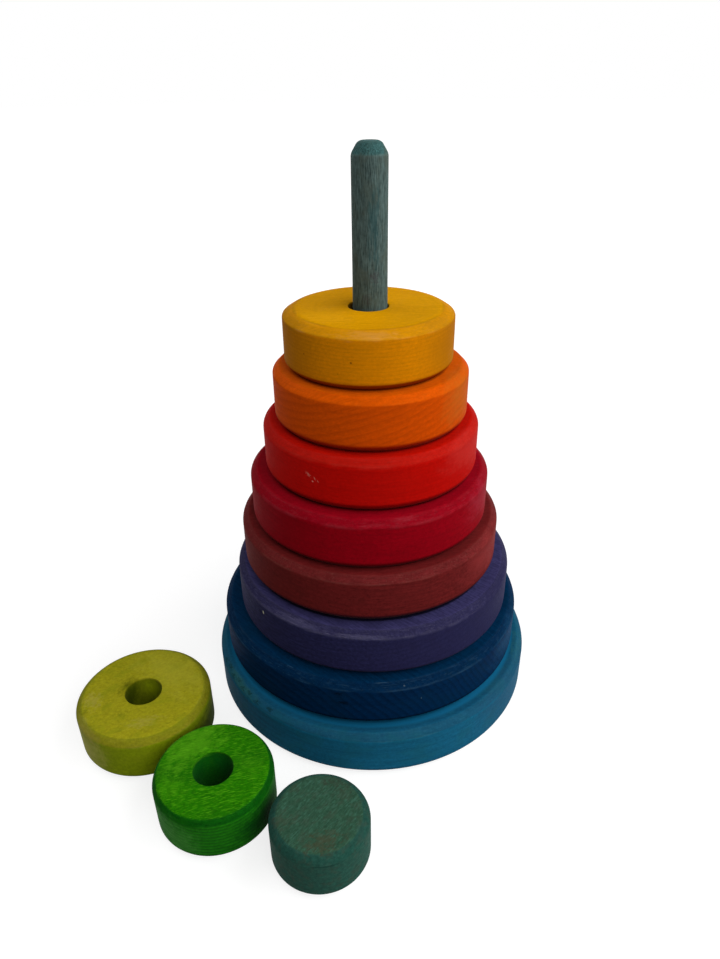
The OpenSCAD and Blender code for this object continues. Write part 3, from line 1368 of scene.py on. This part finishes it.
    def purple(self) -> TurnedDisc:
        """Describes the purple ring, whose bevel is rubbed pale, with a chip at the left."""
        finish = StainedWood(
            stain="#38355e", bevel="#2d2b4b", side="#252447", deep="#19182f", pale="#454270",
            worn="#827e96", blotch="#221f3c",
            grain_turn=-40.0, layer_tilt=12.0, layer_spacing=2.2, fibre=0.28, layers=0.2, pores=0.3,
            end_grain=0.1, blotches=0.3, blotch_size=4.0, lines=0.07, grit=0.12, wear=0.5, wear_breadth=1.1,
            wear_share=0.1, under="#131128", joint_shade=0.8, seat_breadth=0.8, haze=0.02, bands=0.06,
            marks=(
                Mark(-32.0, 54.2, 18.4, (20.0, 3.4, 1.8), "#6e6b8c", share=0.32, ragged=0.5, streaks=0.35),
                Mark(-7.0, 54.6, 18.1, (14.0, 2.8, 0.9), "#7c7996", share=0.27, ragged=0.5, streaks=0.35),
                Mark(60.0, 54.0, 19.0, (20.0, 4.5, 2.6), "#201e3c", share=0.4, ragged=0.6),
                Mark(-51.5, 55.0, 13.6, (1.2, 0.8, 0.8), "#0b0b1c", share=0.7),
                Mark(-49.5, 55.0, 14.2, (0.65, 0.9, 1.0), "#e6e2c4", share=1.0, ragged=0.15, lean=-10.0),
            ),
        )
        return TurnedDisc(
            "purple_ring", "purple", finish, above="maroon_ring", seed=4.0,
            nicks=(Nick(-49.5, 55.0, 14.0, radius=1.2, depth=0.35),),
        )

    def maroon(self) -> TurnedDisc:
        """Describes the maroon ring, with a speckled bevel."""
        finish = StainedWood(
            stain="#681a1b", bevel="#692021", side="#641b1b", deep="#340c0d", pale="#742c2a",
            worn="#8c564c", blotch="#4a1615",
            grain_turn=12.0, layer_tilt=20.0, layer_spacing=2.0, fibre=0.15, layers=0.12, pores=0.3,
            end_grain=0.1, blotches=0.3, blotch_size=5.0, lines=0.1, grit=0.25, wear=0.5, wear_share=0.15,
            under="#2c0c14", foot_rise=0.4, joint_shade=0.8, haze=0.01,
            marks=(
                # Painted sheen: a paler, hazier patch on the lit right side
                Mark(62.0, 50.0, 12.0, (25.0, 9.0, 11.0), "#a83a3a", share=0.28, ragged=0.3),
            ),
        )
        return TurnedDisc(
            "maroon_ring", "maroon", finish, above="crimson_ring", seed=5.0,
            bevel_width=self.deep_bevel, foot_height=self.deep_bevel,
        )

    def crimson(self) -> TurnedDisc:
        """Describes the crimson ring, with pale specks on its bevel."""
        finish = StainedWood(
            stain="#910417", bevel="#8c0517", side="#8b0212", deep="#58030b", pale="#9a1426",
            worn="#b8606c", blotch="#72040c",
            grain_turn=15.0, layer_tilt=6.0, layer_spacing=2.0, fibre=0.1, layers=0.1, pores=0.15,
            blotches=0.2, lines=0.06, grit=0.1, wear=0.5, wear_breadth=1.1, wear_share=0.08,
            under="#4c0106", foot_rise=0.4, joint_shade=0.55, haze=0.01,
            marks=(
                # Painted sheen, partly dust: a paler, hazier patch on the lit right side
                Mark(66.0, 45.0, 13.0, (17.0, 8.0, 9.0), "#b04056", share=0.16, ragged=0.5),
                Mark(15.0, 43.8, 19.3, (5.0, 2.0, 1.0), "#b05a68", share=0.12, ragged=1.0, streaks=0.4),
                Mark(2.0, 44.7, 18.4, (5.0, 1.6, 0.6), "#b05a68", share=0.1, ragged=0.9, streaks=0.4),
            ),
        )
        return TurnedDisc("crimson_ring", "crimson", finish, above="red_ring", seed=6.0)

    def red(self) -> TurnedDisc:
        """Describes the red ring, with a cluster of scratches at the left."""
        finish = StainedWood(
            stain="#b60e02", bevel="#b5170e", side="#b70b05", deep="#860402", pale="#bd2418",
            worn="#cc5c50", blotch="#a0100a",
            grain_turn=-10.0, layer_tilt=3.0, layer_spacing=1.4, fibre=0.07, mottle=0.5, layers=0.1,
            pores=0.1, blotches=0.15, lines=0.05, grit=0.04, wear=0.5, wear_breadth=1.3, wear_share=0.06,
            under="#7f0102", foot_rise=0.4, joint_shade=0.4, haze=0.012,
            marks=(
                # Painted sheen, partly dust: a paler, hazier patch on the lit right side
                Mark(58.0, 39.5, 14.0, (20.0, 8.0, 9.0), "#c8443c", share=0.24, ragged=0.3),
                Mark(-32.8, 40.0, 12.0, (1.5, 0.8, 0.7), "#d89888", share=0.4, ragged=0.9, lean=35.0),
                Mark(-30.3, 40.0, 9.7, (0.5, 0.8, 0.4), "#e0a898", share=0.65, ragged=0.4, lean=30.0),
                Mark(-29.0, 40.0, 11.0, (0.3, 0.8, 0.9), "#d89888", share=0.5, ragged=0.8, lean=-25.0),
                Mark(-27.3, 40.0, 10.2, (0.25, 0.8, 0.6), "#d89888", share=0.45, ragged=0.8, lean=-30.0),
            ),
        )
        return TurnedDisc("red_ring", "red", finish, above="orange_ring", seed=7.0, arris=1.0)

    def orange(self) -> TurnedDisc:
        """Describes the orange ring, whose growth layers flame across its front."""
        finish = StainedWood(
            stain="#ce5701", bevel="#d85501", side="#ca4a01", deep="#8e2c01", pale="#d8690c",
            worn="#dc8436", blotch="#b84002",
            grain_turn=0.0, grain_rise=20.0, layer_tilt=3.0, layer_spacing=2.6, layer_bend=2.2, fibre=0.08,
            mottle=0.4, layers=0.22, pores=0.08, end_grain=0.1, blotches=0.1, lines=0.05, grit=0.04,
            wear=0.3, wear_share=0.1, under="#821100", foot_rise=0.4, joint_shade=0.3, haze=0.01,
            # Painted sheen: a paler, hazier patch on the lit right side
            marks=(Mark(64.0, 33.5, 13.0, (17.0, 8.0, 13.0), "#b0661c", share=0.5, ragged=0.3),),
        )
        return TurnedDisc("orange_ring", "orange", finish, above="yellow_ring", seed=8.0, arris=0.4)

    def yellow(self) -> TurnedDisc:
        """Describes the yellow ring, which has the widest bevel and darker ends of its fibres."""
        finish = StainedWood(
            stain="#d09101", bevel="#cc8804", side="#d07d01", deep="#6e4a06", pale="#d8a21c",
            worn="#d8a468", blotch="#c07c06",
            grain_turn=0.0, layer_tilt=2.0, layer_spacing=1.3, layer_bend=1.2, fibre=0.08, mottle=0.4,
            layers=0.12, pores=0.14, end_grain=0.5, blotches=0.15, bands=0.05, lines=0.06, grit=0.05,
            wear=0.35, wear_share=0.18, crease=0.3, under="#842f01", joint_shade=0.4, haze=0.0,
            marks=(
                # Painted light: a brighter patch on the upper face at the left, where the dowel casts its
                # shadow
                Mark(-60.0, 20.0, 20.0, (14.0, 8.0, 2.0), "#de9f06", share=0.45, ragged=0.5),
                Mark(52.0, 28.0, 18.6, (13.0, 4.0, 3.0), "#a87014", share=0.45, ragged=0.7),
                Mark(56.0, 30.0, 9.0, (15.0, 5.0, 9.0), "#a46404", share=0.3, ragged=0.3),
                Mark(-60.0, 28.5, 18.2, (10.0, 4.0, 3.0), "#8a6206", share=0.25, ragged=0.4),
                Mark(0.0, 28.2, 18.8, (13.0, 3.4, 2.2), "#d89c58", share=0.4, ragged=0.5, streaks=0.4),
                Mark(-11.5, 30.0, 10.1, (0.5, 0.8, 0.5), "#2e2006", share=0.85, ragged=0.3),
                Mark(-45.5, 30.0, 10.3, (0.45, 0.8, 0.4), "#4a3605", share=0.7, ragged=0.3),
                Mark(-20.0, 30.0, 6.0, (0.3, 0.8, 0.3), "#4a3605", share=0.5, ragged=0.3),
            ),
        )
        return TurnedDisc(
            "yellow_ring", "yellow", finish, seed=9.0, arris=0.4, top_bevel_width=self.wide_bevel,
            top_arris=1.8,
        )

    def make(self) -> None:
        """Makes every piece of the tower, from the base up."""
        pieces = (
            self.base(), self.dowel(), self.dark_blue(), self.purple(), self.maroon(), self.crimson(),
            self.red(), self.orange(), self.yellow(),
        )
        for piece in pieces:
            piece.make()


@dataclass
class LoosePieces:
    """The two rings and the cap that lie beside the tower.

    Attributes:
        cap_hole_depth: Depth of the hole in the cap's underside, in millimetres.
        narrow_bevel: Width of the green ring's upper bevel, in millimetres.
    """

    cap_hole_depth: float = 12.5
    narrow_bevel: float = 1.4

    def lime(self) -> TurnedDisc:
        """Describes the lime ring."""
        finish = StainedWood(
            stain="#999418", bevel="#817f17", side="#77860a", deep="#4c560c", pale="#a6a238",
            worn="#a49c50", blotch="#7f8814",
            grain_turn=20.0, layer_tilt=5.0, layer_spacing=2.0, fibre_width=0.45, fibre_length=2.2,
            fibre=0.07, mottle=0.95, layers=0.05, pores=0.25, end_grain=0.1, blotches=0.45,
            blotch_size=4.0, bands=0.05, lines=0.08, wear=0.4, wear_breadth=1.1, wear_share=0.08,
            hole="#5a6807", foot=0.5, haze=0.012,
            marks=(
                Mark(-40.0, 24.8, 17.0, (10.0, 3.0, 3.5), "#8c8038", share=0.5, ragged=0.4),
                # Painted light: a paler left side, where the light falls
                Mark(-54.0, 25.6, 9.0, (20.0, 10.0, 12.5), "#a8a250", share=0.75, ragged=0.3),
                # Painted shade: a dark right side, shaded by the tower and the green ring
                Mark(84.0, 25.6, 6.5, (30.0, 15.0, 13.5), "#263300", share=0.92, ragged=0.2),
                Mark(140.0, 15.0, 20.0, (28.0, 14.0, 1.5), "#bcb63c", share=0.32, ragged=0.4),
                Mark(-75.0, 19.0, 20.0, (6.0, 4.0, 2.0), "#a89c4c", share=0.35, ragged=0.8),
                Mark(15.0, 16.0, 20.0, (8.0, 3.0, 2.0), "#a89c4c", share=0.3, ragged=0.8),
                Mark(-25.0, 13.0, 20.0, (1.8, 1.2, 1.0), "#6a6e12", share=0.5, ragged=1.0),
                Mark(-62.0, 22.0, 20.0, (1.6, 1.0, 1.0), "#6a6e12", share=0.5, ragged=1.0),
                Mark(70.0, 15.0, 20.0, (1.4, 1.0, 1.0), "#6a6e12", share=0.4, ragged=1.0),
                # Painted shade on the left of the bore's wall, and painted light on its right
                Mark(-112.0, 7.0, 14.0, (8.0, 5.0, 11.0), "#2a3502", share=0.85, ragged=0.2),
                Mark(160.0, 7.0, 13.0, (5.5, 4.0, 8.0), "#8e9c0a", share=0.9, ragged=0.3),
            ),
        )
        return TurnedDisc("lime_ring", "lime", finish, seed=10.0, arris=0.7, facet=0.8, top_arris=1.4)

    def green(self) -> TurnedDisc:
        """Describes the green ring, with strong short streaks."""
        finish = StainedWood(
            stain="#216c02", bevel="#0b4f09", side="#1b6a0c", deep="#022a0c", pale="#6cb81e",
            worn="#3f8c30", blotch="#1c6a04",
            grain_turn=14.0, layer_tilt=5.0, layer_spacing=1.5, layer_bend=3.0, fibre_width=0.3,
            fibre_length=2.4, fibre=0.2, pale_fibre=0.36, mottle=1.0, layers=0.48, pores=0.25,
            end_grain=0.15, blotches=0.18, blotch_size=4.0, bands=0.0, lines=0.06, wear=0.3,
            wear_share=0.1, hole="#065010", haze=0.012,
            marks=(
                Mark(-140.0, 14.0, 20.0, (19.0, 10.0, 2.0), "#74c222", share=0.27, ragged=0.6),
                Mark(-60.0, 15.0, 20.0, (8.0, 5.0, 2.0), "#5aaa14", share=0.2, ragged=0.7),
                Mark(95.0, 13.0, 20.0, (7.0, 6.0, 2.0), "#5cac14", share=0.12, ragged=0.7),
                # Painted light on the lit left side, broken up by the wood's streaks
                Mark(-34.0, 21.0, 8.0, (17.0, 4.0, 11.0), "#4f9440", share=0.8, ragged=0.4, streaks=0.65),
                # Painted shade on the left of the bore's wall, and painted light on its right
                Mark(-115.0, 7.0, 13.0, (6.0, 4.0, 9.0), "#033a0c", share=0.6, ragged=0.3),
                Mark(160.0, 7.0, 13.0, (5.0, 3.0, 8.0), "#0a6420", share=0.5, ragged=0.3),
                # Painted shade: a dark right side, shaded by the tower and the lime ring
                Mark(62.0, 21.0, 7.5, (21.0, 14.0, 12.5), "#003607", share=0.85, ragged=0.3),
            ),
        )
        return TurnedDisc(
            "green_ring", "green", finish, seed=11.0, arris=0.5, facet=0.8, top_arris=0.9,
            top_bevel_width=self.narrow_bevel,
        )

    def cap(self) -> TurnedDisc:
        """Describes the teal cap, mottled with brown."""
        finish = StainedWood(
            stain="#2e4f3d", bevel="#21493f", side="#264e43", deep="#1f352d", pale="#4a7a6c",
            worn="#5a7c70", blotch="#3c4438",
            grain_turn=50.0, layer_tilt=10.0, layer_spacing=2.2, fibre_width=0.55, fibre_length=2.0,
            fibre=0.13, pale_fibre=0.25, mottle=1.1, layers=0.12, pores=0.2, end_grain=0.1, blotches=0.35,
            blotch_size=2.4, bands=0.0, lines=0.05, wear=0.3, wear_breadth=1.1, wear_share=0.12, foot=0.4,
            haze=0.012,
            marks=(
                Mark(10.0, 10.5, 20.0, (7.5, 4.5, 2.0), "#45402e", share=0.5, ragged=0.8),
                Mark(155.0, 12.5, 20.0, (6.0, 3.0, 2.0), "#33352a", share=0.45, ragged=1.0),
                Mark(-75.0, 12.0, 20.0, (3.0, 5.0, 2.0), "#3f4234", share=0.35, ragged=0.9),
                Mark(65.0, 15.0, 18.0, (4.0, 4.0, 3.0), "#2c4a44", share=0.4, ragged=0.8),
                Mark(8.0, 16.9, 16.9, (9.0, 1.5, 0.5), "#10302a", share=0.6, ragged=0.3),
            ),
        )
        return TurnedDisc(
            "cap", "teal", finish, seed=12.0, arris=0.8, facet=0.8, bore=Bore.FROM_BELOW,
            bore_depth=self.cap_hole_depth, top_arris=1.2,
        )

    def make(self) -> None:
        """Makes every loose piece."""
        for piece in (self.lime(), self.green(), self.cap()):
            piece.make()


@dataclass
class Lamp:
    """A soft square lamp that points at the object.

    Attributes:
        name: Its name.
        bearing: Where it stands, in degrees to the right of the front.
        rise: How high it stands above the horizon, in degrees.
        distance: How far away it is, in metres.
        size: The length of its side, in metres.
        power: Its power, in watts.
    """

    name: str
    bearing: float
    rise: float
    distance: float
    size: float
    power: float

    def make(self, target: Vector) -> None:
        """Adds the lamp.

        Args:
            target: The point that it lights.
        """
        away = around(self.bearing, math.cos(math.radians(self.rise)), math.sin(math.radians(self.rise)))
        data = bpy.data.lights.new(self.name, "AREA")
        data.shape = "SQUARE"
        data.size = self.size
        data.energy = self.power
        made = placed(self.name, data)
        made.location = target + away * self.distance
        made.rotation_euler = (-away).to_track_quat("-Z", "Y").to_euler()


@dataclass
class Studio:
    """A camera at the photograph's place, a pale floor, three soft lamps and an even sky.

    Attributes:
        eye: The camera's place, in metres.
        lens: The camera's focal length on a sensor 36 mm long, in millimetres.
        pitch: How far the camera looks down, in degrees.
        yaw: How far the camera looks to the right, in degrees.
        roll: How far the camera leans clockwise, in degrees.
        floor_radius: Radius of the floor, in metres.
        floor_sides: Number of its sides.
        floor_tone: The floor's colour for the light that it throws back at the object.
        floor_seen: The floor's colour as the camera sees it.
        floor_glow: Light that the floor near the object gives to the camera alone, to look white.
        shadow_reach: How far from the tower the floor still shows a shadow, in metres.
        sky: Strength of the even light from all round.
        target: The point that the lamps light, in metres.
    """

    eye: Point = (-0.00336, -0.2465, 0.23161)
    lens: float = 27.14
    pitch: float = 29.77
    yaw: float = -0.2
    roll: float = 0.69
    floor_radius: float = 6.0
    floor_sides: int = 96
    floor_tone: str = "#bcbcbc"
    floor_seen: str = "#9a9a9a"
    floor_glow: float = 0.79
    shadow_reach: float = 0.8
    sky: float = 0.02
    target: Point = (0.0, 0.0, 0.09)

    def make_camera(self) -> None:
        """Adds the camera at the photograph's place and angle."""
        data = bpy.data.cameras.new("photograph_view")
        data.sensor_width = SENSOR
        data.lens = self.lens
        data.clip_start = NEAREST_SEEN
        heading = Matrix.Rotation(math.radians(-self.yaw), 4, "Z")
        tilt = Matrix.Rotation(math.radians(90.0 - self.pitch), 4, "X")
        lean = Matrix.Rotation(math.radians(-self.roll), 4, "Z")
        made = placed("photograph_view", data)
        made.matrix_world = Matrix.Translation(self.eye) @ heading @ tilt @ lean
        bpy.context.scene.camera = made

    def make_lamps(self) -> None:
        """Adds the lamps at the front right, at the right and behind the left."""
        lamps = (
            Lamp("front_lamp", bearing=30.0, rise=40.0, distance=2.0, size=1.6, power=25.7),
            Lamp("side_lamp", bearing=90.0, rise=40.0, distance=2.0, size=1.6, power=29.8),
            Lamp("rear_lamp", bearing=-120.0, rise=40.0, distance=2.0, size=1.6, power=15.9),
        )
        for lamp in lamps:
            lamp.make(Vector(self.target))

    def make_sky(self) -> None:
        """Makes the world, even grey light that the camera sees as white."""
        world = bpy.data.worlds.new("plain_sky")
        bpy.context.scene.world = world
        graph = Graph.cleared(world)
        seen = self.seen_directly(graph)
        strength = graph.math("ADD", graph.times(seen, 1.0 - self.sky), self.sky)
        light = graph.node("ShaderNodeBackground", {"Color": WHITE, "Strength": strength})
        graph.node("ShaderNodeOutputWorld", {"Surface": light.outputs[0]})

    @staticmethod
    def seen_directly(graph: Graph) -> Socket:
        """Makes a value that is 1 for camera, glossy and transmission rays.

        Args:
            graph: The graph of a material or a world.

        Returns:
            The value's socket.
        """
        path = graph.node("ShaderNodeLightPath").outputs
        bounced = graph.math("MAXIMUM", path["Is Glossy Ray"], path["Is Transmission Ray"])
        return graph.math("MAXIMUM", path["Is Camera Ray"], bounced)

    def make_floor(self) -> None:
        """Makes the floor, which the camera sees as white with the object's soft shadow."""
        bm = bmesh.new()
        bmesh.ops.create_circle(bm, cap_ends=True, radius=self.floor_radius, segments=self.floor_sides)
        floor = finished("studio_floor", bm)
        made = bpy.data.materials.new("pale_floor")
        graph = Graph.cleared(made)
        seen = self.seen_directly(graph)
        paint = graph.mix(seen, colour(self.floor_tone), colour(self.floor_seen))
        matte = graph.node("ShaderNodeBsdfDiffuse", {"Color": paint})
        away = graph.vector("LENGTH", graph.node("ShaderNodeTexCoord").outputs["Object"])
        lift = graph.ramp(away, self.shadow_reach / 2, self.shadow_reach, self.floor_glow, 1.0)
        glow = graph.node("ShaderNodeEmission", {"Strength": graph.times(seen, lift)})
        both = graph.node("ShaderNodeAddShader", {0: matte.outputs[0], 1: glow.outputs[0]})
        graph.node("ShaderNodeOutputMaterial", {"Surface": both.outputs[0]})
        floor.data.materials.append(made)

    def make(self) -> None:
        """Makes the whole studio."""
        self.make_camera()
        self.make_lamps()
        self.make_sky()
        self.make_floor()
        bpy.context.scene.view_settings.view_transform = "Standard"


def main() -> None:
    """Builds the studio and the object."""
    Studio().make()
    Tower().make()
    LoosePieces().make()


if __name__ == "__main__":
    main()
